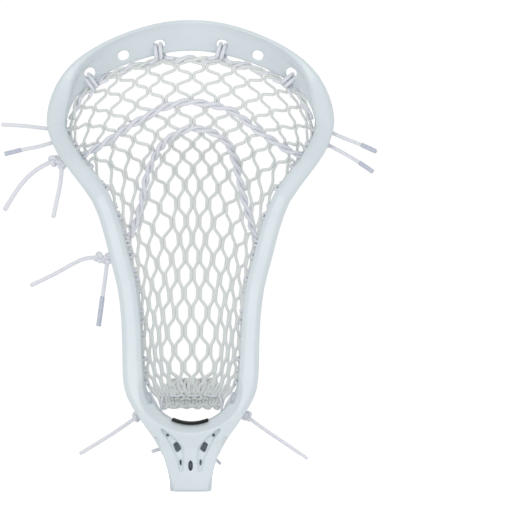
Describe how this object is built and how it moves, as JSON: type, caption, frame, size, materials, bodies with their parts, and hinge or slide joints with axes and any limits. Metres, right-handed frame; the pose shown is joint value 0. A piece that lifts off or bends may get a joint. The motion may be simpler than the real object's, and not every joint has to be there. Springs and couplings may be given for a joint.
{
  "type": "lacrosse head",
  "caption": "Strung lacrosse head: moulded frame with a hung net pocket, laced sidewall and shooting strings with knotted tails, foam ball stop and screwed shaft socket.",
  "frame": {"origin": "centre of the shaft socket's mouth, on the shaft's axis", "axes": "+Z along the shaft's axis towards the scoop, -Y out of the open face, +Y towards the pocket, +X to the right seen from the face"},
  "size_m": [0.2757, 0.1141, 0.345],
  "materials": {
    "frame_plastic": "satin moulded nylon, icy white",
    "stop_foam": "black closed-cell foam",
    "black_screw": "black oxide steel",
    "mesh_netting": "braided polyester netting, warm white",
    "string_cord": "braided nylon cord, cool white",
    "lace_tip": "clear shrink tip over cord"
  },
  "bodies": {
    "head": {"back_knot": "string_cord", "back_left_tail": "string_cord", "back_right_tail": "string_cord", "ball_stop_pad": "stop_foam", "bottom_string": "string_cord", "head_frame": "frame_plastic", "left_ball_curled_tail": "string_cord", "left_ball_hanging_tail": "string_cord", "left_ball_knot": "string_cord", "left_double_hanging_tail": "string_cord", "left_double_hanging_tail_sleeve": "lace_tip", "left_double_knot": "string_cord", "left_double_long_tail": "string_cord", "left_lower_stop_knot": "string_cord", "left_lower_tail": "string_cord", "left_lower_tail_sleeve": "lace_tip", "left_sidewall_string": "string_cord", "left_upper_stop_knot": "string_cord", "left_upper_tail": "string_cord", "lower_shooting_string": "string_cord", "mesh_tail": "mesh_netting", "pocket_mesh": "mesh_netting", "right_lower_stop_knot": "string_cord", "right_lower_tail": "string_cord", "right_lower_tail_sleeve": "lace_tip", "right_sidewall_string": "string_cord", "right_upper_stop_knot": "string_cord", "right_upper_tail": "string_cord", "right_upper_tail_sleeve": "lace_tip", "scoop_loops": "string_cord", "throat_left_knot": "string_cord", "throat_left_tail": "string_cord", "throat_right_knot": "string_cord", "throat_right_tail": "string_cord", "top_string": "string_cord", "upper_shooting_string": "string_cord"},
    "screw": {"shaft_screw": "black_screw"}
  },
  "joints": [
    {"name": "screw_withdraw", "type": "slide", "parent": "head", "child": "screw", "axis": [0, 1, 0], "range_m": [0, 0.03]}
  ]
}
